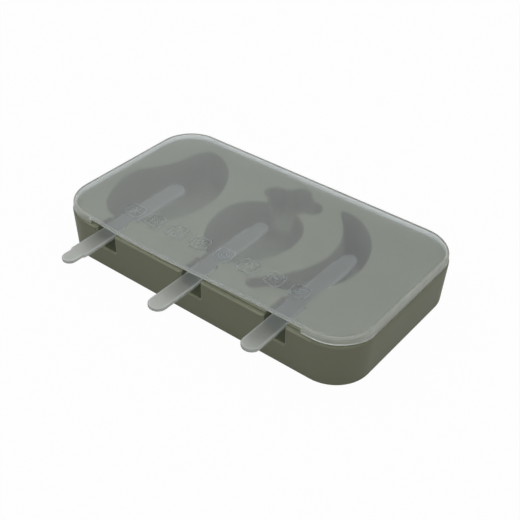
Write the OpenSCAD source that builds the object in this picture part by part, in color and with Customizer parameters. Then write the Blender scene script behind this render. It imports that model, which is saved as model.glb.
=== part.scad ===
// Ice pop mould: a soft one-piece tray with three fruit-shaped cavities, a frosted
// lid that stands on the ledge round its deck, and three flat sticks.
// X runs along the tray, the sticks leave it towards -Y, and Z = 0 is the table.

/* [Tray] */
// Length of the tray at its ledge
tray_length = 196; // [185:1:230]
// Width of the tray at its ledge
tray_width = 110; // [102:1:130]
// Radius of the tray's corners
corner_radius = 22; // [14:1:30]
// Height of the ledge that the lid's skirt stands on
ledge_height = 25.8; // [24:0.2:32]
// Height of the deck above the ledge, which keeps the lid in place
deck_rise = 0.8; // [0.6:0.1:1.4]
// How far the foot of the wall stands in from the ledge
wall_draft = 1.3; // [0.4:0.1:3]
// Thickness of the outer wall below the ledge
wall_thickness = 4.4; // [3.8:0.1:5.4]
// Thickness of the deck between the cavities
deck_thickness = 2.6; // [2:0.1:3.2]
// Rounding of the foot and of the ledge's edge
edge_round = 1; // [0.4:0.1:1.4]
// Rounding of the deck's edge
step_round = 0.5; // [0.2:0.1:0.6]
// Rounding under the deck, inside the wall
inner_round = 2; // [1:0.2:4]

/* [Lid] */
// How far the lid's side stands in from the ledge's edge
lid_inset = 0.5; // [0:0.1:1.5]
// Height of the lid, from the foot of its skirt to its top
lid_height = 5.2; // [4.6:0.1:8]
// Thickness of the lid's plate
plate_thickness = 1.6; // [1.2:0.1:2.4]
// Thickness of the lid's skirt
skirt_thickness = 1.4; // [1:0.1:2]
// Gap between the skirt's inner side and the deck's edge
skirt_clearance = 0.3; // [0.2:0.1:0.8]
// Rounding of the lid's upper edge
lid_round = 2.2; // [1:0.1:2.8]
// Left end of the front stretch that has no skirt
open_left_x = -72; // [-74:0.5:-68]
// Right end of the front stretch that has no skirt
open_right_x = 70; // [63:0.5:74]

/* [Cavities] */
// Thickness of the floor under each cavity, which stands on the table
floor_thickness = 2.4; // [1.8:0.1:4]
// Thickness of the walls round the cavities, below the deck
cup_wall = 2.2; // [1.6:0.1:2.8]
// Slope of the cavity walls in degrees
cavity_draft = 6; // [3:0.5:8]
// Rounding between a cavity's floor and wall
cavity_round = 5; // [3:0.5:5.5]
// Bevel round the mouth of each cavity
mouth_bevel = 0.8; // [0.4:0.1:1.2]

/* [Mango cavity] */
// Middle of the mango, along the tray
mango_x = -59.5; // [-60.5:0.5:-57]
// Gap from the tray's front to the mango's near end, along its axis
mango_front = 15.75; // [15:0.25:22]
// Gap from the mango's far end to the tray's back, along its axis
mango_back = 9.75; // [8.5:0.25:16]
// Width of the mango
mango_width = 52; // [44:0.5:54]
// Direction of the mango's axis at its middle, in degrees
mango_turn = 82.5; // [76:0.5:90]
// Radius that the mango's axis bends round
mango_bend = 50; // [48:1:90]
// How much slimmer the mango gets towards its top
mango_taper = 0.39; // [0.1:0.01:0.42]

/* [Berry cavity] */
// Middle of the berry's body, along the tray
berry_x = 1.3; // [-1:0.1:4]
// Gap from the tray's front to the berry's near end
berry_front = 18.75; // [17:0.25:22]
// Gap from the berry's far end to the tray's back, which holds the crown
berry_back = 30.75; // [29:0.25:34]
// Width of the berry's body
berry_width = 49.3; // [42:0.1:52]
// Direction of the berry's axis, in degrees
berry_turn = 93; // [88:0.5:96]
// How much wider the berry gets towards its crown
berry_taper = 0.19; // [0:0.01:0.3]
// Direction from the berry's middle to its crown, in degrees
crown_turn = 91; // [89:0.5:93]
// Radius of the crown's round middle
crown_radius = 12.7; // [11:0.1:13.5]
// Distance from the berry's far end to the crown's middle
crown_distance = 7.25; // [5:0.25:8]
// Radius of each of the crown's three lobes
lobe_radius = 6.2; // [6.1:0.1:7]
// Distance of the centre lobe from the crown's middle
lobe_reach = 9.8; // [8:0.1:10.2]
// Distance of each side lobe from the crown's axis
lobe_spread = 12.4; // [9:0.1:13]
// How far the side lobes lie back from the centre lobe
lobe_drop = 7.5; // [5:0.1:9]
// Depth of the crown below the deck
crown_depth = 16; // [12:0.5:17]
// Rounding between the crown's floor and wall
crown_round = 3; // [2:0.5:3]

/* [Crescent cavity] */
// Middle of the crescent, along the tray
crescent_x = 55.4; // [54:0.1:58]
// Middle of the crescent, across the tray
crescent_y = 6.5; // [3:0.5:9]
// Length of the crescent's body, along its bend
crescent_length = 93.5; // [84:0.5:96]
// Width of the crescent's body
crescent_width = 18.6; // [18:0.1:22]
// Direction of the crescent's axis at its middle, in degrees
crescent_turn = 95; // [90:0.5:100]
// Radius that the crescent's axis bends round
crescent_bend = 41.5; // [36:0.5:48]
// How much slimmer the crescent gets towards its far end
crescent_taper = 0.22; // [0:0.01:0.3]
// Width of the stem at the crescent's near end
stem_width = 7.5; // [5:0.1:8]
// Length of the stem, past the body's near end
stem_length = 12; // [4:0.5:14]
// How far the stem turns away from the body's near end, in degrees
stem_lean = 18; // [0:1:25]
// Depth of the stem below the deck
stem_depth = 9; // [5:0.5:14]

/* [Sticks] */
// Length of a stick
stick_length = 91; // [86:0.5:110]
// Width of a stick
stick_width = 10.5; // [9:0.1:11]
// Thickness of a stick
stick_thickness = 2; // [1.4:0.1:3]
// Width of a stick's slim tip
tip_width = 8.4; // [6:0.1:9]
// Length of a stick's slim tip
tip_length = 9; // [6:0.5:14]
// Depth of a stick's underside below the deck
stick_depth = 4.2; // [3.4:0.1:6]
// Middle of the left stick, along the tray
stick_left_x = -59.8; // [-62:0.1:-57]
// Middle of the middle stick, along the tray
stick_middle_x = 0.9; // [-2:0.1:4]
// Middle of the right stick, along the tray
stick_right_x = 54.4; // [53:0.1:56]
// How far the left stick stands out of the tray
stick_left_out = 29.5; // [20:0.5:32]
// How far the middle stick stands out of the tray
stick_middle_out = 28.5; // [20:0.5:32]
// How far the right stick stands out of the tray
stick_right_out = 22; // [18:0.5:30]

/* [Stick seats] */
// Width of the finger notch under each stick
notch_width = 13; // [12.6:0.1:15]
// Depth of the notch's floor below the deck
notch_depth = 12.6; // [10:0.1:16]
// Depth of the left notch, in from the front
notch_left_depth = 10.5; // [8:0.5:11]
// Depth of the middle notch, in from the front
notch_middle_depth = 14; // [8:0.5:15]
// Depth of the right notch, in from the front
notch_right_depth = 17; // [12:0.5:17.5]
// Gap between a stick and each side of its slot
slot_clearance = 0.25; // [0.1:0.05:0.6]
// Rounding of the notch's lower corners
notch_round = 1.2; // [0.6:0.1:2]
// Bevel round the notch's mouth
notch_bevel = 1; // [0.5:0.1:1.5]
// Thickness of the walls round a notch, inside the tray
notch_wall = 2.2; // [1.6:0.1:2.8]

/* [Hidden] */
$fn = 64;
over = 1;                                   // how far a cut runs past the surface
arc_steps = 4;                              // straight pieces in a rounded edge
ring_points = 44;                           // points round a cavity's outline
deck_height = ledge_height + deck_rise;
mid_deck = deck_height - deck_thickness/2;
bevel_height = deck_height - mouth_bevel;
stick_height = deck_height - stick_depth;
notch_height = deck_height - notch_depth;
lid_length = tray_length - 2*lid_inset;
lid_width = tray_width - 2*lid_inset;
lid_radius = corner_radius - lid_inset;
step_inset = lid_inset + skirt_thickness + skirt_clearance;
front_y = -tray_width/2;
notch_sill = wall_draft*(1 - notch_height/ledge_height);    // draft of the wall at the notch's floor
mango_length = tray_width - mango_front - mango_back;
mango_y = (mango_front - mango_back)/2;
berry_length = tray_width - berry_front - berry_back;
berry_y = (berry_front - berry_back)/2;
crown_reach = berry_length/2 + crown_distance;
centre_reach = crown_reach + lobe_reach;
mango = [mango_x, mango_y, mango_turn, mango_bend, mango_length, mango_width, mango_taper];
berry = [berry_x, berry_y, berry_turn, 0, berry_length, berry_width, -berry_taper];
crescent = [crescent_x, crescent_y, crescent_turn, crescent_bend,
            crescent_length, crescent_width, crescent_taper];
seats = [[stick_left_x, notch_left_depth, mango_y],
         [stick_middle_x, notch_middle_depth, berry_y],
         [stick_right_x, notch_right_depth, crescent_y]];
silicone = "#5D5F50";
frosted = [0.76, 0.79, 0.74, 0.55];
frosted_stick = [0.80, 0.82, 0.78, 0.8];

// Points of an arc round a centre, from one angle to another
function arc(x, z, r, from, to) =
    [for (i = [0:arc_steps]) let (a = from + (to - from)*i/arc_steps) [x + r*cos(a), z + r*sin(a)]];

// The edge of the tray from its foot to its deck: outward distance from the ledge, height
function tray_edge() = concat(
    arc(-wall_draft - edge_round, edge_round, edge_round, -90, 0),
    arc(-edge_round, ledge_height - edge_round, edge_round, 0, 90),
    [[-step_inset, ledge_height]],
    arc(-step_inset - step_round, deck_height - step_round, step_round, 0, 90));

// A block on a rounded rectangle, whose edge follows the given points from its foot up
module edged_block(length, width, radius, edge) {
    bottom = edge[0][1];
    top = edge[len(edge) - 1][1];
    side_x = length/2 - radius;
    side_y = width/2 - radius;
    for (sx = [-1, 1], sy = [-1, 1])
        translate([sx*side_x, sy*side_y]) mirror([sx < 0 ? 1 : 0, 0]) mirror([0, sy < 0 ? 1 : 0])
            rotate_extrude(angle = 90)
                polygon(concat([[0, bottom]], [for (p = edge) [radius + p[0], p[1]]], [[0, top]]));
    rotate([90, 0, 0]) linear_extrude(2*side_y, center = true) two_sided(length/2, edge);
    rotate([90, 0, 90]) linear_extrude(2*side_x, center = true) two_sided(width/2, edge);
}

// The section of such a block between two opposite edges
module two_sided(half, edge) {
    n = len(edge);
    polygon(concat([for (p = edge) [half + p[0], p[1]]],
                   [for (i = [n - 1:-1:0]) [-half - edge[i][0], edge[i][1]]]));
}

// A point on a fruit's outline: an egg with a straight or bent axis, drawn in by inset
function fruit_point(fruit, angle, inset) =
    let (turn = fruit[2], bend = fruit[3])
    let (s = (fruit[4]/2 - inset)*cos(angle))
    let (n = (fruit[5]/2 - inset)*sin(angle)*(1 - fruit[6]*cos(angle)))
    let (a = bend == 0 ? turn : turn + s/bend*180/PI)
    let (spine = bend == 0 ? s*[cos(turn), sin(turn)]
                           : bend*[sin(a) - sin(turn), cos(turn) - cos(a)])
    [fruit[0], fruit[1]] + spine + n*[-sin(a), cos(a)];

// How far a cavity's wall has come in at a height
function drawn_in(z) = (deck_height - z)*tan(cavity_draft);

// A wall from its floor up to its rounding: how far in from the outline, height
function low_wall(floor_z, round, outward) =
    [for (i = [0:arc_steps]) let (a = 90*i/arc_steps) let (z = floor_z + round*(1 - cos(a)))
        [drawn_in(z) + round*(1 - sin(a)) - outward, z]];

// The wall of a cavity, with its bevelled mouth
function cavity_line(floor_z, round) = concat(low_wall(floor_z, round, 0),
    [[drawn_in(bevel_height), bevel_height], [-mouth_bevel - over, deck_height + over]]);

// The outside of the cup that holds a cavity, from its foot into the deck
function cup_line(foot_z, round) = concat(low_wall(foot_z, round + cup_wall, cup_wall),
    [[drawn_in(mid_deck) - cup_wall, mid_deck]]);

// One strip across a ring of n points, from one side of the fruit's axis to the other
function strip(i, n) =
    i == 0 ? [0, 1, n - 1] : i == n/2 - 1 ? [i, i + 1, i + 2] : [i, i + 1, n - i - 1, n - i];

// A closed body through level rings that follow a fruit's outline
module fruit_body(fruit, line) {
    n = ring_points;
    rings = len(line);
    top = (rings - 1)*n;
    polyhedron(
        points = [for (w = line, i = [0:n - 1]) concat(fruit_point(fruit, 360*i/n, w[0]), w[1])],
        faces = concat(
            [for (i = [0:n/2 - 1]) strip(i, n)],
            [for (i = [0:n/2 - 1]) let (s = strip(i, n)) [for (k = [len(s) - 1:-1:0]) top + s[k]]],
            [for (k = [0:rings - 2], i = [0:n - 1]) let (j = (i + 1) % n)
                each [[k*n + i, (k + 1)*n + i, (k + 1)*n + j], [k*n + i, (k + 1)*n + j, k*n + j]]]));
}

// One round part of the crown
module lobe(along, aside, radius, line) {
    turn = [cos(crown_turn), sin(crown_turn)];
    place = [berry_x, berry_y] + along*turn + aside*[-turn[1], turn[0]];
    translate(place) rotate_extrude()
        polygon(concat([[0, line[0][1]]], [for (w = line) [radius - w[0], w[1]]],
                       [[0, line[len(line) - 1][1]]]));
}

// The crown: its middle, which runs into the berry, and its three lobes
module crown(line) {
    lobe(crown_reach, 0, crown_radius, line);
    lobe(centre_reach, 0, lobe_radius, line);
    for (side = [-1, 1]) lobe(centre_reach - lobe_drop, side*lobe_spread, lobe_radius, line);
}

// The short stem of the crescent, a groove that starts at its near end
module stem(floor_z, top_z, outward) {
    half = stem_width/2 + outward;
    end = crescent_turn - crescent_length/2/crescent_bend*180/PI;
    start_x = crescent_x + crescent_bend*(sin(end) - sin(crescent_turn));
    start_y = crescent_y + crescent_bend*(cos(crescent_turn) - cos(end));
    turn = end + stem_lean + 180;
    reach = stem_length - stem_width/2;
    translate([start_x, start_y, floor_z]) rotate(turn) linear_extrude(top_z - floor_z) {
        translate([-stem_width, -half]) square([stem_width + reach, 2*half]);
        translate([reach, 0]) circle(half);
    }
}

// The three cavities
module cavities() {
    for (fruit = [mango, berry, crescent])
        fruit_body(fruit, cavity_line(floor_thickness, cavity_round));
    crown(cavity_line(deck_height - crown_depth, crown_round));
    stem(deck_height - stem_depth, deck_height + 2*over, 0);
}

// The cups under the deck that hold the cavities
module cups() {
    for (fruit = [mango, berry, crescent]) fruit_body(fruit, cup_line(0, cavity_round));
    crown(cup_line(deck_height - crown_depth - floor_thickness, crown_round));
    stem(deck_height - stem_depth - floor_thickness, mid_deck + deck_thickness/4, cup_wall);
}

// The tray's hollow underside
module underside() {
    roof = deck_height - deck_thickness;
    edge = concat([[-wall_draft - wall_thickness, -over]],
        arc(-wall_thickness - inner_round, roof - inner_round, inner_round, 0, 90));
    edged_block(tray_length, tray_width, corner_radius, edge);
}

// The upright outline of a finger notch, open at the top
module notch_outline() {
    half = notch_width/2;
    flat = half - notch_round;
    arch = notch_height + notch_round;
    translate([-half, arch]) square([notch_width, deck_height + over - arch]);
    translate([-flat, notch_height]) square([2*flat, notch_round + over]);
    for (side = [-1, 1]) translate([side*flat, arch]) circle(notch_round);
}

// One finger notch, with the bevel round its mouth
module notch(x, depth) {
    half = notch_width/2;
    bevel = notch_bevel;
    wide = half + bevel + over;
    translate([x, front_y + depth]) rotate([90, 0, 0]) linear_extrude(depth + over) notch_outline();
    translate([x, front_y, notch_height]) linear_extrude(deck_height)
        polygon([[-wide, -over], [wide, -over], [half, bevel], [-half, bevel]]);
    translate([x - half, front_y + notch_sill, notch_height]) rotate([90, 0, 90])
        linear_extrude(notch_width)
            polygon([[-over, over], [-over, -bevel - over], [bevel + over, over]]);
}

// The slot that a stick lies in, from its notch to the middle of its cavity
module slot(x, depth, inner_y) {
    width = stick_width + 2*slot_clearance;
    start = front_y + depth - over;
    translate([x - width/2, start, stick_height]) cube([width, inner_y - start, deck_height]);
}

// The box under the deck that a notch is cut into, and the trough that its slot is cut into
module seat_box(x, depth, inner_y) {
    start = front_y + wall_thickness/2;
    box_width = notch_width + 2*notch_wall;
    box_foot = notch_height - notch_wall;
    translate([x - box_width/2, start, box_foot])
        cube([box_width, front_y + depth + notch_wall - start, mid_deck - box_foot]);
    trough_width = stick_width + 2*slot_clearance + 2*notch_wall;
    trough_foot = stick_height - notch_wall;
    translate([x - trough_width/2, start, trough_foot])
        cube([trough_width, inner_y - start, mid_deck - trough_foot]);
}

module mould_body() {
    color(silicone) difference() {
        edged_block(tray_length, tray_width, corner_radius, tray_edge());
        difference() {
            underside();
            cups();
            for (s = seats) seat_box(s[0], s[1], s[2]);
        }
        cavities();
        for (s = seats) {
            notch(s[0], s[1]);
            slot(s[0], s[1], s[2]);
        }
    }
}

module lid() {
    top = ledge_height + lid_height;
    plate = top - plate_thickness;
    below = ledge_height - over;
    color(frosted) difference() {
        edged_block(lid_length, lid_width, lid_radius,
            concat([[0, ledge_height]], arc(-lid_round, top - lid_round, lid_round, 0, 90)));
        edged_block(lid_length, lid_width, lid_radius,
            [[-skirt_thickness, below], [-skirt_thickness, plate]]);
        translate([open_left_x, -lid_width/2 - over, below])
            cube([open_right_x - open_left_x, skirt_thickness + 2*over, plate - below]);
    }
}

// A stick seen from above, its handle end at y = 0 and its slim tip at y = stick_length
module stick_outline() {
    half = stick_width/2;
    shoulder = (stick_width - tip_width)/2;
    neck = stick_length - tip_length;
    translate([0, half]) circle(half);
    translate([-half, half]) square([stick_width, neck - half - shoulder]);
    for (side = [-1, 1]) translate([side*(half - shoulder), neck - shoulder]) circle(shoulder);
    translate([-tip_width/2, half]) square([tip_width, stick_length - tip_width/2 - half]);
    translate([0, stick_length - tip_width/2]) circle(tip_width/2);
}

// A stick lying in its slot, its outer end the given distance out of the tray
module stick(x, out, tip_outwards) {
    turned = tip_outwards ? 180 : 0;
    color(frosted_stick)
        translate([x, front_y - out + (tip_outwards ? stick_length : 0), stick_height])
            rotate(turned) linear_extrude(stick_thickness) stick_outline();
}

module stick_left() { stick(stick_left_x, stick_left_out, true); }
module stick_middle() { stick(stick_middle_x, stick_middle_out, false); }
module stick_right() { stick(stick_right_x, stick_right_out, false); }

mould_body();
lid();
stick_left();
stick_middle();
stick_right();
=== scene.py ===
"""The looks of the ice pop mould: its silicone tray, its frosted lid and its three sticks."""

import math

import bmesh
import bpy
from mathutils import Matrix, Vector


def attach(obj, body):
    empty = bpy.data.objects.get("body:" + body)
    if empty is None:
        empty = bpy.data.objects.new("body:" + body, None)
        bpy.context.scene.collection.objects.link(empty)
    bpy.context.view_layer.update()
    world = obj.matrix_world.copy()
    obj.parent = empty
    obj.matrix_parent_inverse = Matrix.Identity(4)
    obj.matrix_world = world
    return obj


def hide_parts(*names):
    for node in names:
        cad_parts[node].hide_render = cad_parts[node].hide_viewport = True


bl_info = {
    "name": "Ice Pop Mould",
    "version": (1, 0, 0),
    "blender": (4, 5, 0),
    "location": "3D View > Sidebar > Ice Pop Mould",
    "description": "Makes the silicone tray, the frosted lid, the sticks and the studio of the ice pop mould",
    "category": "Object",
}

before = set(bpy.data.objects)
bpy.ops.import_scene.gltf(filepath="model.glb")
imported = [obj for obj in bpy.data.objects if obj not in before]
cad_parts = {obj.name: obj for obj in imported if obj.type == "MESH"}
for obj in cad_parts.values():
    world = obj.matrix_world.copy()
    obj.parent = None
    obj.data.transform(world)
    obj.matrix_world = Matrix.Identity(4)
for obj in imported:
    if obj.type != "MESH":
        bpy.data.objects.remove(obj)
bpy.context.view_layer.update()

MM = 0.001
OVER = 1.0  # how far a cut runs past the surface, in mm
SLICE = 0.01  # how thick a block is before its edge profiles are followed, in mm
NEAR = 0.01  # how close a point has to be to a line to count as on it, in mm
LEVEL = 0.97  # from this share of its normal on, a face counts as square to that axis

# Sizes of the solids, in mm
LEDGE = 25.8
DECK = 26.6
LID_INSET = 0.5
STEP_INSET = 2.2
WALL_DRAFT = 1.3
WALL_THICKNESS = 4.4
DECK_THICKNESS = 2.6
CUP_WALL = 2.2
FLOOR_THICKNESS = 2.4
CAVITY_DRAFT = math.radians(6)
CAVITY_ROUND = 5.0
MID_DECK = DECK - DECK_THICKNESS / 2
NOTCH_WIDTH = 13.0
NOTCH_FLOOR = 14.0
NOTCH_ROUND = 1.2
NOTCH_WALL = 2.2
NOTCH_CORNER = 0.8
SLOT_FLOOR = 22.4
SLOT_WIDTH = 11.0
SLOT_CORNER = 0.3
SLOT_LIP = 0.6
# How far a mouth's cutter stands over the deck, so that no two faces coincide
POCKET_LIFT = 0.01
CAVITY_LIFT = 0.015

# Each fruit: middle x, y, length, width, turn of its axis in degrees, bend radius of its axis, taper
FRUITS = {
    "mango": (-59.5, 3.0, 84.5, 52.0, 82.5, 50.0, 0.39),
    "berry": (1.3, -6.0, 60.5, 49.3, 93.0, 0.0, -0.19),
    "crescent": (55.4, 6.5, 93.5, 18.6, 95.0, 41.5, 0.22),
}
# Each round part of the crown: distance along the crown's axis, distance from it, radius
CROWN = ((37.5, 0.0, 12.7), (47.3, 0.0, 6.2), (39.8, 12.4, 6.2), (39.8, -12.4, 6.2))
CROWN_TURN = math.radians(91)
CROWN_DEPTH = 16.0
CROWN_ROUND = 3.0
LOBE_STEPS = 64
STEM_WIDTH = 7.5
STEM_LENGTH = 12.0
STEM_LEAN = math.radians(18)
STEM_DEPTH = 9.0
STEM_ROUND = 1.2
STEM_STEPS = 48
# Each stick: middle x, how far it stands out, depth of its notch, the fruit it leads to, tip outwards
STICKS = {
    "stick_left": (-59.8, 29.5, 10.5, "mango", True),
    "stick_middle": (0.9, 28.5, 14.0, "berry", False),
    "stick_right": (54.4, 22.0, 17.0, "crescent", False),
}
# Painted light and shade on the silicone, as shares of its own colour: a painted highlight on the rounded
# lips, painted shade in the notches and towards the cavity floors
LIP_HIGHLIGHT_TONE = 1.35
NOTCH_SHADE_TONE = 0.7
FLOOR_SHADE_TONE = 0.8


class TrayLooks(bpy.types.PropertyGroup):
    """Sizes and colours of the silicone tray"""

    length: bpy.props.FloatProperty(
        name="Length", description="Length of the tray at its ledge", default=0.196, unit="LENGTH")
    width: bpy.props.FloatProperty(
        name="Width", description="Width of the tray at its ledge", default=0.110, unit="LENGTH")
    corner: bpy.props.FloatProperty(
        name="Corner", description="Radius of the tray's corners", default=0.022, unit="LENGTH")
    lip: bpy.props.FloatProperty(
        name="Lip", description="Rounding of each opening's edge", default=0.0011, unit="LENGTH")
    colour: bpy.props.FloatVectorProperty(
        name="Silicone", description="Colour of the silicone", subtype="COLOR", size=3,
        default=(0.182, 0.19, 0.134))
    grain: bpy.props.FloatProperty(
        name="Grain", description="Size of the silicone's matt grain", default=0.0009, unit="LENGTH")


class LidLooks(bpy.types.PropertyGroup):
    """Sizes and colours of the frosted lid"""

    height: bpy.props.FloatProperty(
        name="Height", description="Height of the lid over the ledge", default=0.0052, unit="LENGTH")
    plate: bpy.props.FloatProperty(
        name="Plate", description="Thickness of the lid's plate", default=0.0016, unit="LENGTH")
    skirt: bpy.props.FloatProperty(
        name="Skirt", description="Thickness of the lid's skirt", default=0.0014, unit="LENGTH")
    rounding: bpy.props.FloatProperty(
        name="Rounding", description="Rounding of the lid's upper edge", default=0.0022, unit="LENGTH")
    sag: bpy.props.FloatProperty(
        name="Sag", description="How far the free front edge hangs down", default=0.0026, unit="LENGTH")
    foot_lift: bpy.props.FloatProperty(
        name="Foot lift", description="How far the skirt stands off the ledge at the front right corner",
        default=0.0012, unit="LENGTH")
    front_edge: bpy.props.FloatProperty(
        name="Front edge", description="Thickness of the plate along its free front edge", default=0.0009,
        unit="LENGTH")
    colour: bpy.props.FloatVectorProperty(
        name="Frosted plastic", description="Colour of the frosted plastic", subtype="COLOR", size=3,
        default=(0.713, 0.75, 0.778))
    rim_colour: bpy.props.FloatVectorProperty(
        name="Rim", description="Colour of the frosted plastic round the lid's edge", subtype="COLOR",
        size=3, default=(0.74, 0.76, 0.73))
    mark_size: bpy.props.FloatProperty(
        name="Mark size", description="Width of each embossed square", default=0.0098, unit="LENGTH")
    mark_height: bpy.props.FloatProperty(
        name="Mark height", description="Height of the embossed lines", default=0.00015, unit="LENGTH")


class StickLooks(bpy.types.PropertyGroup):
    """Sizes and colours of the sticks"""

    length: bpy.props.FloatProperty(
        name="Length", description="Length of a stick", default=0.091, unit="LENGTH")
    width: bpy.props.FloatProperty(
        name="Width", description="Width of a stick", default=0.0105, unit="LENGTH")
    thickness: bpy.props.FloatProperty(
        name="Thickness", description="Thickness of a stick", default=0.002, unit="LENGTH")
    colour: bpy.props.FloatVectorProperty(
        name="Stick plastic", description="Colour of the sticks", subtype="COLOR", size=3,
        default=(0.42, 0.437, 0.41))
    # A paler colour on the sticks' softened upper edges: a painted highlight
    edge_highlight_colour: bpy.props.FloatVectorProperty(
        name="Stick edge", description="Colour of the sticks' softened edges", subtype="COLOR", size=3,
        default=(0.6, 0.62, 0.6))


class StudioLooks(bpy.types.PropertyGroup):
    """The camera, the lamp, the room's light and the floor"""

    azimuth: bpy.props.FloatProperty(
        name="Azimuth", description="Turn of the camera from the front to the right",
        default=math.radians(37.081), subtype="ANGLE")
    elevation: bpy.props.FloatProperty(
        name="Elevation", description="Height of the camera as an angle",
        default=math.radians(37.348), subtype="ANGLE")
    roll: bpy.props.FloatProperty(
        name="Roll", description="Roll of the camera", default=math.radians(1.705), subtype="ANGLE")
    distance: bpy.props.FloatProperty(
        name="Distance", description="Distance of the camera", default=0.52554, unit="LENGTH")
    target: bpy.props.FloatVectorProperty(
        name="Target", description="Point that the camera looks at", subtype="XYZ", size=3,
        default=(-0.000971, 0.006134, 0.0))
    lens: bpy.props.FloatProperty(
        name="Lens", description="Focal length in mm on a 36 mm sensor", default=64.32)
    room: bpy.props.FloatProperty(
        name="Room", description="Strength of the light from all round", default=0.375)
    lamp: bpy.props.FloatProperty(
        name="Lamp", description="Power of the soft box over the tray in watts", default=10.9)
    floor: bpy.props.FloatVectorProperty(
        name="Floor", description="Colour of the floor", subtype="COLOR", size=3,
        default=(0.68, 0.68, 0.68))


# Mesh work

def new_piece(name, bm, material):
    """Turns a bmesh into an object of that name, with its material if it has one"""
    mesh = bpy.data.meshes.new(name)
    bm.to_mesh(mesh)
    bm.free()
    piece = bpy.data.objects.new(name, mesh)
    bpy.context.scene.collection.objects.link(piece)
    if material:
        mesh.materials.append(material)
    return piece


def dressed(piece, node):
    """Hides the CAD part that a piece replaces, if there is one, and hangs the piece on the root body"""
    if node:
        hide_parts(node)
    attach(piece, "root")


def in_metres(bm):
    """Takes a bmesh that was drawn in mm to metres"""
    bmesh.ops.scale(bm, vec=(MM, MM, MM), verts=bm.verts[:])


def cut(piece, bm, operation="DIFFERENCE"):
    """Cuts a bmesh in mm out of a piece, or joins it to the piece"""
    if any(len(e.link_faces) != 2 for e in bm.edges) or bm.calc_volume(signed=True) <= 0:
        raise RuntimeError("A cutter's surface isn't closed, or faces inwards")
    in_metres(bm)
    tool = new_piece("cutter", bm, None)
    step = piece.modifiers.new("cut", "BOOLEAN")
    step.operation = operation
    step.solver = "MANIFOLD"
    step.object = tool
    return tool


def settle(piece, tools):
    """Applies a piece's modifiers to its mesh and takes the cutters away"""
    graph = bpy.context.evaluated_depsgraph_get()
    mesh = bpy.data.meshes.new_from_object(piece.evaluated_get(graph), depsgraph=graph)
    old = piece.data
    piece.modifiers.clear()
    piece.data = mesh
    mesh.name = old.name + "_mesh"
    bpy.data.meshes.remove(old)
    for tool in tools:
        bpy.data.objects.remove(tool)


def soft_shading(piece, degrees=38):
    """Smooth shading that keeps flat faces flat beside their rounded edges"""
    piece.data.shade_smooth()
    piece.data.set_sharp_from_angle(angle=math.radians(degrees))
    step = piece.modifiers.new("flat_faces", "WEIGHTED_NORMAL")
    step.keep_sharp = True
    step.weight = 70


def arc(steps):
    """Angles from 0 to 90 degrees, in radians"""
    return [math.radians(90.0 * i / steps) for i in range(steps + 1)]


def rectangle(bm, length, width):
    """A flat rectangle on z = 0, facing up, as its four corners"""
    made = bmesh.ops.create_grid(bm, x_segments=1, y_segments=1, size=0.5)["verts"]
    bmesh.ops.scale(bm, vec=(length, width, 1), verts=made)
    return made


def rounded(bm, parts, radius, steps, affect="VERTICES"):
    """Rounds the corners of a flat face, or the edges of a body"""
    bmesh.ops.bevel(bm, geom=parts, offset=radius, offset_type="OFFSET", segments=steps, profile=0.5,
                    affect=affect, material=-1)


def rounded_face(bm, length, width, radius, z, steps=14):
    """A flat rounded rectangle, facing up"""
    made = rectangle(bm, length, width)
    bmesh.ops.translate(bm, vec=(0, 0, z), verts=made)
    rounded(bm, made, radius, steps)
    bm.faces.ensure_lookup_table()
    return bm.faces[-1]


def extruded(bm, face, shift):
    """Extrudes a flat face by a shift and returns the face at the far end"""
    made = bmesh.ops.extrude_face_region(bm, geom=[face])["geom"]
    far = next(part for part in made if isinstance(part, bmesh.types.BMFace))
    bmesh.ops.translate(bm, vec=shift, verts=far.verts[:])
    return far


def split(bm, point, normal, near=1e-6):
    """Splits every face that a plane runs through"""
    bmesh.ops.bisect_plane(bm, geom=bm.verts[:] + bm.edges[:] + bm.faces[:], dist=near,
                           plane_co=point, plane_no=normal)


def climb(bm, face, line):
    """Follows an edge profile from a face: each point is how far in, and how far along the face's normal"""
    for (inset, height), (next_inset, next_height) in zip(line, line[1:]):
        bmesh.ops.inset_region(bm, faces=[face], thickness=next_inset - inset, depth=next_height - height,
                               use_even_offset=True, use_boundary=True)


def rounded_block(length, width, radius, z, up, down):
    """A block on a rounded rectangle whose edge follows one profile upwards and one downwards"""
    bm = bmesh.new()
    foot = rounded_face(bm, length, width, radius, z)
    top = extruded(bm, foot, (0, 0, SLICE))
    bm.normal_update()
    climb(bm, top, up)
    climb(bm, foot, down)
    bm.normal_update()
    return bm


def box(low, high):
    """A plain box between two corners, in mm"""
    bm = bmesh.new()
    made = bmesh.ops.create_cube(bm, size=1)["verts"]
    size = [b - a for a, b in zip(low, high)]
    middle = [(a + b) / 2 for a, b in zip(low, high)]
    bmesh.ops.scale(bm, vec=size, verts=made)
    bmesh.ops.translate(bm, vec=middle, verts=made)
    return bm


def pocket(low_x, high_x, low_y, high_y, floor_z, top_z, lip, corner):
    """A cutter for an upright pocket, whose mouth at top_z is rounded outwards"""
    bm = bmesh.new()
    face = rounded_face(bm, high_x - low_x + 2 * lip, high_y - low_y + 2 * lip, corner + lip, 0, steps=6)
    extruded(bm, face, (0, 0, 3 * OVER))
    bm.normal_update()
    mouth = [(lip * (1 - math.cos(a)), lip * math.sin(a)) for a in arc(5)]
    climb(bm, face, [(lip - i, lip - d) for i, d in reversed(mouth)] + [(lip, top_z - floor_z)])
    middle = ((low_x + high_x) / 2, (low_y + high_y) / 2, top_z + POCKET_LIFT)
    bmesh.ops.translate(bm, vec=middle, verts=bm.verts[:])
    bm.normal_update()
    return bm


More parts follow.
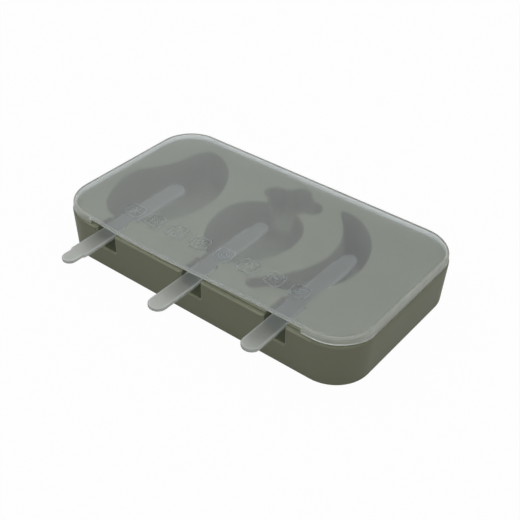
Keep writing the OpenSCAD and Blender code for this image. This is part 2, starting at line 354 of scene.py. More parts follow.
def loft(place, line, steps=96):
    """A closed body through level rings; place(angle, inset) is where a ring's point lies"""
    bm = bmesh.new()
    ring = bmesh.ops.create_circle(bm, cap_ends=True, segments=steps, radius=1)["verts"]
    angles = {v: math.atan2(v.co.y, v.co.x) for v in ring}
    edges = bm.edges[:]
    for level, (inset, z) in enumerate(line):
        if level:
            made = bmesh.ops.extrude_edge_only(bm, edges=edges)["geom"]
            above = {part for part in made if isinstance(part, bmesh.types.BMVert)}
            for v in above:
                below = next(e.other_vert(v) for e in v.link_edges if e.other_vert(v) not in above)
                angles[v] = angles[below]
            ring = above
            edges = [part for part in made
                     if isinstance(part, bmesh.types.BMEdge) and above.issuperset(part.verts)]
        for v in ring:
            v.co = Vector((*place(angles[v], inset), z))
    bmesh.ops.contextual_create(bm, geom=edges)
    bmesh.ops.recalc_face_normals(bm, faces=bm.faces[:])
    return bm


# The fruit-shaped cavities

def fruit_place(fruit):
    """Where a fruit's outline runs: an egg on a straight or bent axis"""
    x, y, length, width, turn, bend, taper = FRUITS[fruit]
    turn = math.radians(turn)

    def place(angle, inset):
        along = (length / 2 - inset) * math.cos(angle)
        aside = (width / 2 - inset) * math.sin(angle) * (1 - taper * math.cos(angle))
        if bend:
            a = turn + along / bend
            spine = (bend * (math.sin(a) - math.sin(turn)), bend * (math.cos(turn) - math.cos(a)))
        else:
            a = turn
            spine = (along * math.cos(a), along * math.sin(a))
        return x + spine[0] - aside * math.sin(a), y + spine[1] + aside * math.cos(a)

    return place


def lobe_place(along, aside, radius):
    """Where a round part of the crown runs"""
    x, y = FRUITS["berry"][:2]
    x += along * math.cos(CROWN_TURN) - aside * math.sin(CROWN_TURN)
    y += along * math.sin(CROWN_TURN) + aside * math.cos(CROWN_TURN)

    def place(angle, inset):
        reach = radius - inset
        return x + reach * math.cos(angle), y + reach * math.sin(angle)

    return place


def stem_place():
    """Where the crescent's short stem runs: a straight groove with round ends"""
    x, y, length, _, turn, bend, _ = FRUITS["crescent"]
    middle = math.radians(turn)
    end = middle - length / 2 / bend
    x += bend * (math.sin(end) - math.sin(middle))
    y += bend * (math.cos(middle) - math.cos(end))
    away = end + STEM_LEAN + math.pi
    half = STEM_WIDTH / 2
    near, far = -STEM_WIDTH, STEM_LENGTH - half

    def place(angle, inset):
        reach = half - inset
        local = angle - away
        along = (far if math.cos(local) > 0 else near) + reach * math.cos(local)
        aside = reach * math.sin(local)
        return (x + along * math.cos(away) - aside * math.sin(away),
                y + along * math.sin(away) + aside * math.cos(away))

    return place


def drawn_in(z):
    """How far a cavity's wall has come in at a height"""
    return (DECK - z) * math.tan(CAVITY_DRAFT)


def low_wall(floor_z, rounding, outward=0.0, steps=8):
    """A wall from its floor up to the end of its rounding"""
    heights = [(a, floor_z + rounding * (1 - math.cos(a))) for a in arc(steps)]
    return [(drawn_in(z) + rounding * (1 - math.sin(a)) - outward, z) for a, z in heights]


def cavity_line(floor_z, lip, rounding=CAVITY_ROUND):
    """The wall of a cavity, with its rounded mouth"""
    start = drawn_in(DECK - lip)
    mouth = [(start - lip * (1 - math.cos(a)), DECK - lip * (1 - math.sin(a)) + CAVITY_LIFT)
             for a in arc(6)]
    return low_wall(floor_z, rounding) + mouth + [(start - lip, DECK + 2 * OVER)]


def cup_line(foot_z, rounding=CAVITY_ROUND):
    """The outside of the cup that holds a cavity"""
    return low_wall(foot_z, rounding + CUP_WALL, CUP_WALL) + [(drawn_in(MID_DECK) - CUP_WALL, MID_DECK)]


def notch_mouth(x, depth, front, lip):
    """A cutter for a finger notch, rounded outwards where it leaves the front wall"""
    bm = bmesh.new()
    half = NOTCH_WIDTH / 2 + lip
    over_deck = 6
    low, high = NOTCH_FLOOR - lip, DECK + over_deck
    made = rectangle(bm, 2 * half, high - low)
    bmesh.ops.rotate(bm, matrix=Matrix.Rotation(math.radians(-90), 3, "X"), verts=made)
    bmesh.ops.translate(bm, vec=(0, 0, (low + high) / 2), verts=made)
    lower = [v for v in made if v.co.z < NOTCH_FLOOR]
    rounded(bm, lower, NOTCH_ROUND + lip, 6)
    bm.faces.ensure_lookup_table()
    inner = bm.faces[-1]
    extruded(bm, inner, (0, -2 * OVER, 0))
    bmesh.ops.recalc_face_normals(bm, faces=bm.faces[:])
    mouth = [(lip - lip * math.cos(a), lip * math.sin(a)) for a in arc(6)]
    climb(bm, inner, [(lip - i, lip - d) for i, d in reversed(mouth)] + [(lip, depth)])
    for v in bm.verts:
        if v.co.y < depth / 2:
            v.co.y += WALL_DRAFT * (LEDGE - min(v.co.z, LEDGE)) / LEDGE
    bmesh.ops.translate(bm, vec=(x, front, 0), verts=bm.verts[:])
    bmesh.ops.recalc_face_normals(bm, faces=bm.faces[:])
    return bm


def tray_mesh(looks):
    """The silicone tray: one block, hollow below, with its cavities, notches and slots cut in"""
    length, width, corner = looks.length / MM, looks.width / MM, looks.corner / MM
    lip = looks.lip / MM
    front = -width / 2
    edge = 1.0  # rounding of the tray's upper and lower edge
    step_round = 0.35  # rounding of the step between the ledge and the deck
    step_low = [(STEP_INSET - step_round * (1 - math.sin(a)), LEDGE + step_round * (1 - math.cos(a)))
                for a in arc(3)]
    step_high = [(STEP_INSET + step_round * (1 - math.cos(a)), DECK - step_round * (1 - math.sin(a)))
                 for a in arc(4)]
    up = [(edge * (1 - math.cos(a)), LEDGE - edge * (1 - math.sin(a))) for a in arc(6)]
    up += step_low + step_high
    wall_top = LEDGE - edge
    up = [(inset, z - wall_top - SLICE * (i > 0)) for i, (inset, z) in enumerate(up)]
    down = [(0, 0)] + [(WALL_DRAFT + edge * (1 - math.cos(a)), wall_top - edge + edge * math.sin(a))
                       for a in arc(6)]
    block = rounded_block(length, width, corner, wall_top, up, down)
    in_metres(block)
    body = new_piece("silicone_tray", block, silicone(looks))

    roof = DECK - DECK_THICKNESS
    inner = 2.0  # rounding where the hollow's walls meet its roof
    hollow_edge = [(0, 0)] + [(inner * (1 - math.cos(a)), roof - inner * (1 - math.sin(a)) + OVER)
                              for a in arc(6)]
    shrink = WALL_THICKNESS + WALL_DRAFT / 2
    hollow = rounded_block(length - 2 * shrink, width - 2 * shrink, corner - shrink, -OVER, hollow_edge,
                           [(0, 0), (0, OVER)])
    in_metres(hollow)
    room = new_piece("room_below", hollow, None)
    tools = [cut(room, loft(fruit_place(fruit), cup_line(0))) for fruit in FRUITS]
    crown_floor = DECK - CROWN_DEPTH
    crown_cup = cup_line(crown_floor - FLOOR_THICKNESS, CROWN_ROUND)
    tools += [cut(room, loft(lobe_place(*lobe), crown_cup, LOBE_STEPS)) for lobe in CROWN]
    stem_floor = DECK - STEM_DEPTH
    # The cups end at heights of their own inside the deck, so that no two faces coincide
    stem_top, slot_top = MID_DECK + 0.5, MID_DECK + 0.2
    stem_cup = [(-CUP_WALL, stem_floor - FLOOR_THICKNESS), (-CUP_WALL, stem_top)]
    tools.append(cut(room, loft(stem_place(), stem_cup, STEM_STEPS)))
    for x, _, depth, fruit, _ in STICKS.values():
        start = front + WALL_THICKNESS / 2
        half = NOTCH_WIDTH / 2 + NOTCH_WALL
        tools.append(cut(room, box((x - half, start, NOTCH_FLOOR - NOTCH_WALL),
                                   (x + half, front + depth + NOTCH_WALL, MID_DECK))))
        half = SLOT_WIDTH / 2 + NOTCH_WALL
        tools.append(cut(room, box((x - half, start, SLOT_FLOOR - NOTCH_WALL),
                                   (x + half, FRUITS[fruit][1], slot_top))))
    settle(room, tools)

    step = body.modifiers.new("cut", "BOOLEAN")
    step.operation = "DIFFERENCE"
    step.solver = "MANIFOLD"
    step.object = room
    tools = [room]
    tools += [cut(body, loft(fruit_place(fruit), cavity_line(FLOOR_THICKNESS, lip))) for fruit in FRUITS]
    crown_wall = cavity_line(crown_floor, lip, CROWN_ROUND)
    tools += [cut(body, loft(lobe_place(*lobe), crown_wall, LOBE_STEPS)) for lobe in CROWN]
    tools.append(cut(body, loft(stem_place(), cavity_line(stem_floor, lip, STEM_ROUND), STEM_STEPS)))
    shared = 4  # how far the two cutters of a notch run into each other
    for x, _, depth, fruit, _ in STICKS.values():
        half = NOTCH_WIDTH / 2
        tools.append(cut(body, notch_mouth(x, depth, front, lip)))
        tools.append(cut(body, pocket(x - half, x + half, front - shared, front + depth,
                                      NOTCH_FLOOR + shared, DECK, lip, NOTCH_CORNER)))
        half = SLOT_WIDTH / 2
        tools.append(cut(body, pocket(x - half, x + half, front + depth - OVER, FRUITS[fruit][1],
                                      SLOT_FLOOR, DECK, SLOT_LIP, SLOT_CORNER)))
    settle(body, tools)
    paint_tray_light_and_shade(body, looks, edge)
    soft_shading(body)
    return body


def paint_tray_light_and_shade(body, looks, edge):
    """Paints light and shade into the tray's colour: a painted highlight on the rounded lips, painted shade
    in the notches and painted shade in the cavities, darker downwards
    """
    straight = looks.length / MM / 2 - looks.corner / MM
    lip = looks.lip / MM
    front = -looks.width / MM / 2
    back_margin, top_margin, under_slot = 0.1, 0.3, 1
    drafted, floor_like = 0.03, 0.9  # how much of its normal points up, for a wall of a cavity and a floor
    rim_highlight_from, rim_highlight_to = 0.2, 0.98  # the same for the rounded upper edge, which takes the painted highlight
    materials = body.data.materials
    # Three copies of the silicone: a paler one as a painted highlight, a deeper one as painted shade in the
    # notches, and one with painted shade growing darker towards the cavity floors
    pale, deep, cavity = range(len(materials), len(materials) + 3)
    materials.append(silicone(looks, "silicone_lip_highlight", LIP_HIGHLIGHT_TONE))
    materials.append(silicone(looks, "silicone_notch_shade", NOTCH_SHADE_TONE))
    materials.append(paint_shade_downwards(silicone(looks, "silicone_cavity_shade"), FLOOR_SHADE_TONE))
    for face in body.data.polygons:
        x, y, z = face.center / MM
        ahead, upwards = face.normal.y, face.normal.z
        at_notch = any(abs(x - middle) < NOTCH_WIDTH / 2 + lip and y < front + depth + back_margin
                       for middle, _, depth, _, _ in STICKS.values())
        inside = y - front - WALL_DRAFT * (LEDGE - min(z, LEDGE)) / LEDGE
        cavity_top = SLOT_FLOOR - under_slot if upwards > floor_like else DECK - lip
        # Painted highlight on the notch's rounded lip, painted shade inside the notch
        if at_notch and NOTCH_FLOOR - lip < z < DECK - top_margin and ahead > -LEVEL:
            face.material_index = pale if inside < lip else deep
        # Painted shade on the cavities' walls and floors, darker downwards
        elif upwards > drafted and inside > STEP_INSET and z < cavity_top:
            face.material_index = cavity
        # Painted highlight on the upward rounded edge along the top of the front wall
        elif inside < edge and abs(x) < straight and rim_highlight_from < upwards < rim_highlight_to and z > LEDGE - edge:
            face.material_index = pale


# The frosted lid

def lid_sag(x, y, width):
    """How far the lid's plate hangs down at a point, as a share of its sag: most left of the middle"""
    lowest, left_reach, right_reach = -37, 48, 79
    across_power, back_power = 1.25, 3
    reach = left_reach if x < lowest else right_reach
    across = math.cos(math.pi / 2 * min(1.0, abs(x - lowest) / reach))
    back = (width / 2 - y) / width
    return max(0.0, across) ** across_power * max(0.0, back) ** back_power


def foot_share(x, y):
    """How far the skirt's foot stands off the ledge, as a share: only round the front right corner"""
    start_x, run_x, start_y, run_y = 60, 10, -34, 12
    return min(1.0, max(0.0, (x - start_x) / run_x)) * min(1.0, max(0.0, (start_y - y) / run_y))


def lid_mesh(tray, looks):
    """The lid: a plate with a skirt that is open along the front, sagging a little there"""
    length = tray.length / MM - 2 * LID_INSET
    width = tray.width / MM - 2 * LID_INSET
    corner = tray.corner / MM - LID_INSET
    top = LEDGE + looks.height / MM
    plate, skirt, rounding = looks.plate / MM, looks.skirt / MM, looks.rounding / MM
    foot_round = 0.3
    side = top - rounding
    up = [(rounding * (1 - math.cos(a)), rounding * math.sin(a)) for a in arc(8)]
    down = [(0, 0), (0, side - LEDGE - foot_round)] + \
           [(foot_round * (1 - math.cos(a)), side - LEDGE - foot_round * (1 - math.sin(a)))
            for a in arc(3)[1:]]
    shell = rounded_block(length, width, corner, side - SLICE, up, down)
    in_metres(shell)
    clear_plastic = frosted("frosted_lid", looks.colour, clear=0.995, roughness=0.235)
    lid = new_piece("frosted_lid", shell, clear_plastic)
    rim = frosted("frosted_rim", looks.rim_colour, clear=0.91, roughness=0.45,
                  through_colour=(0.3, 0.31, 0.3))
    rim.node_tree.nodes["Principled BSDF"].inputs["Specular IOR Level"].default_value = 0.2
    lid.data.materials.append(rim)
    thin, thin_depth = looks.front_edge / MM, 2.2
    open_left, open_right = -72, 70
    hair = 0.004  # keeps the square edge's top under the plate's, so that no two faces coincide
    square_edge = box((open_left, -width / 2, top - thin),
                      (open_right, -width / 2 + rounding + OVER, top - hair))
    tools = [cut(lid, square_edge, "UNION")]
    inner = 0.8  # rounding where the skirt's inside meets the plate
    depth = top - plate - LEDGE
    ceiling = [(0, 0), (0, depth - inner + OVER - SLICE)] + \
              [(inner * (1 - math.cos(a)), depth - inner * (1 - math.sin(a)) + OVER - SLICE)
               for a in arc(5)[1:]]
    tools.append(cut(lid, rounded_block(length - 2 * skirt, width - 2 * skirt, corner - skirt, LEDGE - OVER,
                                        ceiling, [(0, 0), (0, OVER)])))
    tools.append(cut(lid, box((open_left, -width / 2 - OVER, LEDGE - OVER),
                              (open_right, -width / 2 + thin_depth, top - thin))))
    settle(lid, tools)

    bm = bmesh.new()
    bm.from_mesh(lid.data)
    bend_step = 4  # how far apart the splits are that let the plate bend
    for normal, reach in (((1, 0, 0), length / 2), ((0, 1, 0), width / 2)):
        steps = int(reach // bend_step)
        for i in range(-steps, steps + 1):
            split(bm, Vector(normal) * (i * bend_step * MM), normal)
    rim_depth, bend_depth = 0.9, 0.9
    edge_y = (-width / 2 + rim_depth) * MM
    split(bm, (0, edge_y, 0), (0, 1, 0))
    for face in bm.faces:
        middle = face.calc_center_median()
        in_front = middle.y < edge_y and open_left * MM < middle.x < open_right * MM
        face.material_index = int(in_front or abs(face.normal.z) < LEVEL)
    low, foot = (top - plate - bend_depth) * MM, (LEDGE + 2 * foot_round) * MM
    for v in bm.verts:
        x, y = v.co.x / MM, v.co.y / MM
        if v.co.z > low:
            v.co.z -= looks.sag * lid_sag(x, y, width)
        elif v.co.z < foot:
            v.co.z += looks.foot_lift * foot_share(x, y)
    bm.to_mesh(lid.data)
    bm.free()
    soft_shading(lid, 40)
    return lid


def bar(bm, start, end, width, height):
    """One embossed line between two points, flat on z = 0"""
    start, end = Vector(start), Vector(end)
    along = end - start
    made = bmesh.ops.create_cube(bm, size=1)["verts"]
    bmesh.ops.scale(bm, vec=(along.length + width, width, height), verts=made)
    turn = Matrix.Rotation(math.atan2(along.y, along.x), 3, "Z")
    bmesh.ops.rotate(bm, matrix=turn, verts=made)
    middle = (start + end) / 2
    bmesh.ops.translate(bm, vec=(middle.x, middle.y, height / 2), verts=made)


def trace(bm, points, width, height, closed=False):
    """A row of embossed lines through points"""
    ends = points[1:] + points[:1] if closed else points[1:]
    for start, end in zip(points, ends):
        bar(bm, start, end, width, height)


def ring_points(radius, count):
    """Points round a circle"""
    angles = [2 * math.pi * i / count for i in range(count)]
    return [(radius * math.cos(a), radius * math.sin(a)) for a in angles]


def pictures():
    """The eight pictures, each a list of (points, closed), on a square from -1 to 1"""
    flake = [([(-0.62 * math.cos(a), -0.62 * math.sin(a)), (0.62 * math.cos(a), 0.62 * math.sin(a))], False)
             for a in (0, math.pi / 3, 2 * math.pi / 3)]
    waves = [([(-0.6 + 0.2 * i, h + 0.12 * (-1) ** i) for i in range(7)], False) for h in (-0.35, 0, 0.35)]
    drop = [([(0, 0.65), (-0.4, -0.1), (-0.3, -0.48), (0, -0.62), (0.3, -0.48), (0.4, -0.1)], True)]
    sun = [(ring_points(0.3, 10), True)] + \
          [([(0.45 * math.cos(a), 0.45 * math.sin(a)), (0.65 * math.cos(a), 0.65 * math.sin(a))], False)
           for a in [math.pi / 4 * i for i in range(8)]]
    plate = [(ring_points(0.6, 14), True), (ring_points(0.32, 10), True)]
    pop = [([(-0.3, -0.1), (-0.3, 0.4), (-0.15, 0.62), (0.15, 0.62), (0.3, 0.4), (0.3, -0.1)], True),
           ([(0, -0.15), (0, -0.62)], False)]
    cube = [([(-0.45, -0.5), (0.25, -0.5), (0.25, 0.2), (-0.45, 0.2)], True),
            ([(-0.45, 0.2), (-0.15, 0.5), (0.55, 0.5), (0.55, -0.2), (0.25, -0.5)], False),
            ([(0.25, 0.2), (0.55, 0.5)], False)]
    leaf = [([(-0.55, -0.55), (-0.45, 0.15), (0.05, 0.5), (0.55, 0.55), (0.5, 0.05), (0.15, -0.45)], True),
            ([(-0.55, -0.55), (0.3, 0.3)], False)]
    return [flake, waves, drop, sun, plate, pop, cube, leaf]


def marks_mesh(tray, looks):
    """The row of embossed squares near the lid's front edge"""
    places = (-57.0, -42.3, -26.8, -10.3, 5.9, 21.6, 38.9, 54.3)
    row_y = -33.8
    half = looks.mark_size / MM / 2
    height = looks.mark_height / MM
    sunk = 0.06  # how far the lines reach into the plate
    cut_off = 1.6  # how much is cut off each corner of a square
    frame_width, line_width = 0.4, 0.34
    top = LEDGE + looks.height / MM
    width = tray.width / MM - 2 * LID_INSET
    bm = bmesh.new()
    for x, picture in zip(places, pictures()):
        first = len(bm.verts)
        frame_line = [(half - cut_off, -half), (half, -half + cut_off), (half, half - cut_off),
                      (half - cut_off, half), (-half + cut_off, half), (-half, half - cut_off),
                      (-half, -half + cut_off), (-half + cut_off, -half)]
        trace(bm, frame_line, frame_width, height + sunk, closed=True)
        for points, closed in picture:
            trace(bm, [(px * half, py * half) for px, py in points], line_width, height + sunk, closed)
        bm.verts.ensure_lookup_table()
        made = bm.verts[first:]
        bmesh.ops.translate(bm, vec=(x, row_y, top - sunk), verts=made)
    for v in bm.verts:
        v.co.z -= looks.sag / MM * lid_sag(v.co.x, v.co.y, width)
    in_metres(bm)
    material = frosted("frosted_marks", looks.colour, clear=0.93, roughness=0.4)
    return new_piece("embossed_pictures", bm, material)


# The sticks

def stick_mesh(name, looks, place, material):
    """One flat stick with softened edges and a slim tip; its upper edges carry a painted highlight"""
    x, out, _, _, tip_outwards = place
    length, width, thickness = looks.length / MM, looks.width / MM, looks.thickness / MM
    tip, tip_length, soft = 8.4, 9.0, 0.5
    apart = 0.02  # what is left between the two rounded corners of an end
    neck_round, band = 0.6, 0.45
    edge_highlight_from = 0.3  # from this share of its normal on, a face of the softened edge is seen from above and takes the painted highlight
    shoulder = (width - tip) / 2
    neck = length - tip_length
    bm = bmesh.new()
    made = rectangle(bm, width, length)
    bmesh.ops.translate(bm, vec=(0, length / 2, 0), verts=made)
    for y in (neck - shoulder, neck):
        split(bm, (0, y, 0), (0, 1, 0), near=1e-5)
    for v in bm.verts:
        if v.co.y > neck - NEAR:
            v.co.x *= tip / width
    bmesh.ops.dissolve_edges(bm, edges=[e for e in bm.edges if len(e.link_faces) == 2], use_verts=False)
    for low, high, radius, steps in ((0, 0, width / 2 - apart, 12), (length, length, tip / 2 - apart, 12),
                                     (neck - shoulder, neck, neck_round, 3)):
        rounded(bm, [v for v in bm.verts if low - NEAR < v.co.y < high + NEAR], radius, steps)
    bm.faces.ensure_lookup_table()
    extruded(bm, bm.faces[0], (0, 0, thickness))
    bmesh.ops.recalc_face_normals(bm, faces=bm.faces[:])
    rims = [e for e in bm.edges if abs(e.verts[0].co.z - e.verts[1].co.z) < NEAR]
    rounded(bm, rims, soft, 4, "EDGES")
    flat = max(bm.faces, key=lambda face: face.calc_center_median().z)
    highlight_band = bmesh.ops.inset_region(bm, faces=[flat], thickness=band, use_even_offset=True)["faces"]
    # The upward softened edges and a band round the flat top take a paler plastic: a painted highlight
    for face in bm.faces:
        face.material_index = int(face in highlight_band or edge_highlight_from < face.normal.z < LEVEL)
    front = -bpy.context.scene.mould_tray.width / MM / 2
    if tip_outwards:
        bmesh.ops.rotate(bm, matrix=Matrix.Rotation(math.pi, 3, "Z"), verts=bm.verts[:])
        bmesh.ops.translate(bm, vec=(0, length, 0), verts=bm.verts[:])
    bmesh.ops.translate(bm, vec=(x, front - out, SLOT_FLOOR), verts=bm.verts[:])
    in_metres(bm)
    piece = new_piece("frosted_" + name, bm, material)
    # Paler frosted plastic for those faces: a painted highlight along the edges
    edge = frosted("frosted_stick_edge_highlight", looks.edge_highlight_colour, clear=0.65, roughness=0.4)
    piece.data.materials.append(edge)
    soft_shading(piece)
    return piece


# Materials

def grain_group():
    """Fine matt grain with a slow change of tone, as moulded silicone and frosted plastic have"""
    name = "matt_grain"
    if name in bpy.data.node_groups:
        return bpy.data.node_groups[name]
    group = bpy.data.node_groups.new(name, "ShaderNodeTree")
    face = group.interface
    face.new_socket("Colour", in_out="INPUT", socket_type="NodeSocketColor")
    for title, default in (("Grain Scale", 1000.0), ("Grain Height", 0.1), ("Mottling", 0.06),
                           ("Roughness", 0.5), ("Roughness Change", 0.08)):
        face.new_socket(title, in_out="INPUT", socket_type="NodeSocketFloat").default_value = default
    face.new_socket("Colour", in_out="OUTPUT", socket_type="NodeSocketColor")
    face.new_socket("Roughness", in_out="OUTPUT", socket_type="NodeSocketFloat")
    face.new_socket("Normal", in_out="OUTPUT", socket_type="NodeSocketVector")
    nodes, links = group.nodes, group.links
    given = nodes.new("NodeGroupInput")
    result = nodes.new("NodeGroupOutput")
    where = nodes.new("ShaderNodeTexCoord")
    grain = nodes.new("ShaderNodeTexNoise")
    grain.inputs["Detail"].default_value = 3
    links.new(where.outputs["Object"], grain.inputs["Vector"])
    links.new(given.outputs["Grain Scale"], grain.inputs["Scale"])
    bump = nodes.new("ShaderNodeBump")
    bump.inputs["Distance"].default_value = 0.0001
    links.new(given.outputs["Grain Height"], bump.inputs["Strength"])
    links.new(grain.outputs["Fac"], bump.inputs["Height"])
    tone = nodes.new("ShaderNodeTexNoise")
    tone.inputs["Scale"].default_value = 45
    tone.inputs["Detail"].default_value = 4
    links.new(where.outputs["Object"], tone.inputs["Vector"])
    spread = nodes.new("ShaderNodeMapRange")
    spread.inputs["To Min"].default_value = -1
    links.new(tone.outputs["Fac"], spread.inputs["Value"])
    shift = nodes.new("ShaderNodeMath")
    shift.operation = "MULTIPLY_ADD"
    shift.inputs[2].default_value = 1
    links.new(spread.outputs["Result"], shift.inputs[0])
    links.new(given.outputs["Mottling"], shift.inputs[1])
    tint = nodes.new("ShaderNodeVectorMath")
    tint.operation = "SCALE"
    links.new(given.outputs["Colour"], tint.inputs["Vector"])
    links.new(shift.outputs["Value"], tint.inputs["Scale"])
    matt = nodes.new("ShaderNodeMath")
    matt.operation = "MULTIPLY_ADD"
    links.new(spread.outputs["Result"], matt.inputs[0])
    links.new(given.outputs["Roughness Change"], matt.inputs[1])
    links.new(given.outputs["Roughness"], matt.inputs[2])
    links.new(tint.outputs["Vector"], result.inputs["Colour"])
    links.new(matt.outputs["Value"], result.inputs["Roughness"])
    links.new(bump.outputs["Normal"], result.inputs["Normal"])
    return group


def grained_material(name, colour, scale, height, mottling, roughness):
    """A material whose colour, roughness and normal come from the grain group"""
    material = bpy.data.materials.new(name)
    material.use_nodes = True
    nodes, links = material.node_tree.nodes, material.node_tree.links
    shader = nodes["Principled BSDF"]
    grain = nodes.new("ShaderNodeGroup")
    grain.node_tree = grain_group()
    grain.inputs["Colour"].default_value = (*colour, 1)
    grain.inputs["Grain Scale"].default_value = scale
    grain.inputs["Grain Height"].default_value = height
    grain.inputs["Mottling"].default_value = mottling
    grain.inputs["Roughness"].default_value = roughness
    links.new(grain.outputs["Colour"], shader.inputs["Base Color"])
    links.new(grain.outputs["Roughness"], shader.inputs["Roughness"])
    links.new(grain.outputs["Normal"], shader.inputs["Normal"])
    return material, shader


def silicone(looks, name="grey_green_silicone", tone=1.0):
    """Matt olive grey silicone; a tone above 1 paints a highlight into its colour, one below 1 paints shade
    into it
    """
    # The tone scales the colour: painted light or painted shade, not a different pigment
    colour = [part * tone for part in looks.colour]
    material, shader = grained_material(name, colour, scale=1 / looks.grain, height=0.08,
                                        mottling=0.05, roughness=0.52)
    shader.inputs["Specular IOR Level"].default_value = 0.1
    shader.inputs["IOR"].default_value = 1.42
    return material


def paint_shade_downwards(material, floor_shade):
    """Paints shade into a silicone, darker towards the floors of the cavities"""
    nodes, links = material.node_tree.nodes, material.node_tree.links
    where = nodes.new("ShaderNodeTexCoord")
    parts = nodes.new("ShaderNodeSeparateXYZ")
    links.new(where.outputs["Object"], parts.inputs["Vector"])
    # Painted shade: the colour falls from its own value at the deck to the given share at the floor
    tone = nodes.new("ShaderNodeMapRange")
    for socket, value in (("From Min", FLOOR_THICKNESS * MM), ("From Max", DECK * MM),
                          ("To Min", floor_shade)):
        tone.inputs[socket].default_value = value
    links.new(parts.outputs["Z"], tone.inputs["Value"])
    deep = nodes.new("ShaderNodeVectorMath")
    deep.operation = "SCALE"
    links.new(nodes["Group"].outputs["Colour"], deep.inputs["Vector"])
    links.new(tone.outputs["Result"], deep.inputs["Scale"])
    links.new(deep.outputs["Vector"], nodes["Principled BSDF"].inputs["Base Color"])
    return material


def mixed(nodes, links, share, first, second):
    """A mix of two shaders: where the share is 1, only the second one counts"""
    mix = nodes.new("ShaderNodeMixShader")
    for source, socket in ((share, 0), (first, 1), (second, 2)):
        links.new(source, mix.inputs[socket])
    return mix.outputs["Shader"]


def frosted(name, colour, clear, roughness, through_colour=(0.80, 0.83, 0.80)):
    """Frosted see-through plastic, which lets the lamp's light through to what lies under it"""
    material, shader = grained_material(name, colour, scale=1600, height=0.03, mottling=0.015,
                                        roughness=roughness)
    material.node_tree.nodes["Group"].inputs["Roughness Change"].default_value = 0.03
    shader.inputs["Transmission Weight"].default_value = clear
    shader.inputs["IOR"].default_value = 1.46
    nodes, links = material.node_tree.nodes, material.node_tree.links
    light = nodes.new("ShaderNodeLightPath")
    through = nodes.new("ShaderNodeBsdfTransparent")
    through.inputs["Color"].default_value = (*through_colour, 1)
    both = mixed(nodes, links, light.outputs["Is Shadow Ray"], shader.outputs["BSDF"],
                 through.outputs["BSDF"])
    links.new(both, nodes["Material Output"].inputs["Surface"])
    return material


def seen_white(nodes, links):
    """A node that gives 1 for what the camera sees, mirrored or through plastic too, and 0 for light"""
    path = nodes.new("ShaderNodeLightPath")
    either = nodes.new("ShaderNodeMath")
    either.operation = "MAXIMUM"
    links.new(path.outputs["Is Camera Ray"], either.inputs[0])
    links.new(path.outputs["Is Glossy Ray"], either.inputs[1])
    seen = nodes.new("ShaderNodeMath")
    seen.operation = "MAXIMUM"
    links.new(either.outputs["Value"], seen.inputs[0])
    links.new(path.outputs["Is Transmission Ray"], seen.inputs[1])
    return seen


def floor_material(colour):
    """A pale floor that the camera sees as almost white, with a faint shadow"""
    white_share = 0.97
    material = bpy.data.materials.new("pale_floor")
    material.use_nodes = True
    nodes, links = material.node_tree.nodes, material.node_tree.links
    shader = nodes["Principled BSDF"]
    shader.inputs["Base Color"].default_value = (*colour, 1)
    shader.inputs["Roughness"].default_value = 0.9
    shader.inputs["Specular IOR Level"].default_value = 0.1
    white = nodes.new("ShaderNodeEmission")
    white.inputs["Strength"].default_value = 1.0
    seen = seen_white(nodes, links)
    share = nodes.new("ShaderNodeMath")
    share.operation = "MULTIPLY"
    share.inputs[1].default_value = white_share
    links.new(seen.outputs["Value"], share.inputs[0])
    both = mixed(nodes, links, share.outputs["Value"], shader.outputs["BSDF"], white.outputs["Emission"])
    links.new(both, nodes["Material Output"].inputs["Surface"])
    return material


def set_world(strength):
    """Even white light from all round, seen as white by the camera"""
    world = bpy.data.worlds.new("white_room")
    bpy.context.scene.world = world
    world.use_nodes = True
    nodes, links = world.node_tree.nodes, world.node_tree.links
    lit = nodes["Background"]
    lit.inputs["Color"].default_value = (1, 1, 1, 1)
    lit.inputs["Strength"].default_value = strength
    white = nodes.new("ShaderNodeBackground")
    white.inputs["Strength"].default_value = 1.0
    white.inputs["Color"].default_value = (1, 1, 1, 1)
    seen = seen_white(nodes, links)
    both = mixed(nodes, links, seen.outputs["Value"], lit.outputs["Background"],
                 white.outputs["Background"])
    links.new(both, nodes["World Output"].inputs["Surface"])


def soft_box(name, place, aim, size, power):
    """A square area lamp at a place, turned towards the point that it aims at"""
    lamp = bpy.data.lights.new(name, "AREA")
    lamp.shape = "SQUARE"
    lamp.size = size
    lamp.energy = power
    holder = bpy.data.objects.new(name, lamp)
    bpy.context.scene.collection.objects.link(holder)
    place, aim = Vector(place), Vector(aim)
    turn = (aim - place).to_track_quat("-Z", "Y").to_matrix().to_4x4()
    holder.matrix_world = Matrix.Translation(place) @ turn


def place_camera(looks):
    """The camera at the angle, distance and roll of the photograph"""
    a, e, r = looks.azimuth, looks.elevation, looks.roll
    back = Vector((math.sin(a) * math.cos(e), -math.cos(a) * math.cos(e), math.sin(e)))
    right = Vector((math.cos(a), math.sin(a), 0))
    up = back.cross(right)
    right, up = right * math.cos(r) + up * math.sin(r), up * math.cos(r) - right * math.sin(r)
    data = bpy.data.cameras.new("camera")
    data.sensor_width = 36
    data.lens = looks.lens
    data.clip_start = 0.01
    camera = bpy.data.objects.new("camera", data)
    bpy.context.scene.collection.objects.link(camera)
    place = Vector(looks.target) + back * looks.distance
    camera.matrix_world = Matrix.Translation(place) @ Matrix((right, up, back)).transposed().to_4x4()
    bpy.context.scene.camera = camera


class MOULD_OT_tray(bpy.types.Operator):
    """Make the silicone tray with its cavities, finger notches and stick slots"""

    bl_idname = "mould.tray"
    bl_label = "Silicone Tray"

    def execute(self, context):
        dressed(tray_mesh(context.scene.mould_tray), "mould_body")
        return {"FINISHED"}


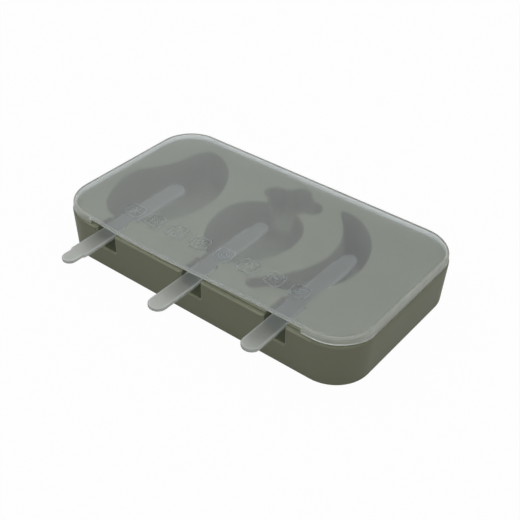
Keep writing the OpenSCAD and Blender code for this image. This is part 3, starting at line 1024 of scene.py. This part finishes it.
class MOULD_OT_lid(bpy.types.Operator):
    """Make the frosted lid"""

    bl_idname = "mould.lid"
    bl_label = "Frosted Lid"

    def execute(self, context):
        dressed(lid_mesh(context.scene.mould_tray, context.scene.mould_lid), "lid")
        return {"FINISHED"}


class MOULD_OT_marks(bpy.types.Operator):
    """Make the row of embossed pictures on the lid"""

    bl_idname = "mould.marks"
    bl_label = "Embossed Pictures"

    def execute(self, context):
        dressed(marks_mesh(context.scene.mould_tray, context.scene.mould_lid), None)
        return {"FINISHED"}


class MOULD_OT_sticks(bpy.types.Operator):
    """Make the three sticks"""

    bl_idname = "mould.sticks"
    bl_label = "Sticks"

    def execute(self, context):
        looks = context.scene.mould_sticks
        material = frosted("frosted_stick", looks.colour, clear=0.9, roughness=0.4)
        for name, place in STICKS.items():
            dressed(stick_mesh(name, looks, place, material), name)
        return {"FINISHED"}


class MOULD_OT_studio(bpy.types.Operator):
    """Set up the pale floor, the lamp, the white room and the camera"""

    bl_idname = "mould.studio"
    bl_label = "Studio"

    def execute(self, context):
        looks = context.scene.mould_studio
        bm = bmesh.new()
        bmesh.ops.create_grid(bm, x_segments=1, y_segments=1, size=3)
        floor = new_piece("floor", bm, floor_material(looks.floor))
        set_world(looks.room)
        soft_box("soft_box_above", place=(0.0, 0.0, 1.0), aim=(0, 0, 0), size=2.07, power=looks.lamp)
        place_camera(looks)
        context.scene.view_settings.view_transform = "Standard"
        return {"FINISHED"}


class MOULD_PT_pieces(bpy.types.Panel):
    """Lists the pieces of the ice pop mould and what can be changed on them"""

    bl_idname = "MOULD_PT_pieces"
    bl_label = "Ice Pop Mould"
    bl_space_type = "VIEW_3D"
    bl_region_type = "UI"
    bl_category = "Ice Pop Mould"

    def draw(self, context):
        scene = context.scene
        for looks, operators in ((scene.mould_tray, (MOULD_OT_tray,)),
                                 (scene.mould_lid, (MOULD_OT_lid, MOULD_OT_marks)),
                                 (scene.mould_sticks, (MOULD_OT_sticks,)),
                                 (scene.mould_studio, (MOULD_OT_studio,))):
            column = self.layout.box().column()
            for name in type(looks).__annotations__:
                column.prop(looks, name)
            for operator in operators:
                column.operator(operator.bl_idname)


CLASSES = (TrayLooks, LidLooks, StickLooks, StudioLooks, MOULD_OT_tray, MOULD_OT_lid, MOULD_OT_marks,
           MOULD_OT_sticks, MOULD_OT_studio, MOULD_PT_pieces)
GROUPS = {"mould_tray": TrayLooks, "mould_lid": LidLooks, "mould_sticks": StickLooks,
          "mould_studio": StudioLooks}


def register():
    for kind in CLASSES:
        bpy.utils.register_class(kind)
    for name, kind in GROUPS.items():
        setattr(bpy.types.Scene, name, bpy.props.PointerProperty(type=kind))


def unregister():
    for name in GROUPS:
        delattr(bpy.types.Scene, name)
    for kind in reversed(CLASSES):
        bpy.utils.unregister_class(kind)


def main():
    register()
    bpy.ops.mould.tray()
    bpy.ops.mould.lid()
    bpy.ops.mould.marks()
    bpy.ops.mould.sticks()
    bpy.ops.mould.studio()


if __name__ == "__main__":
    main()
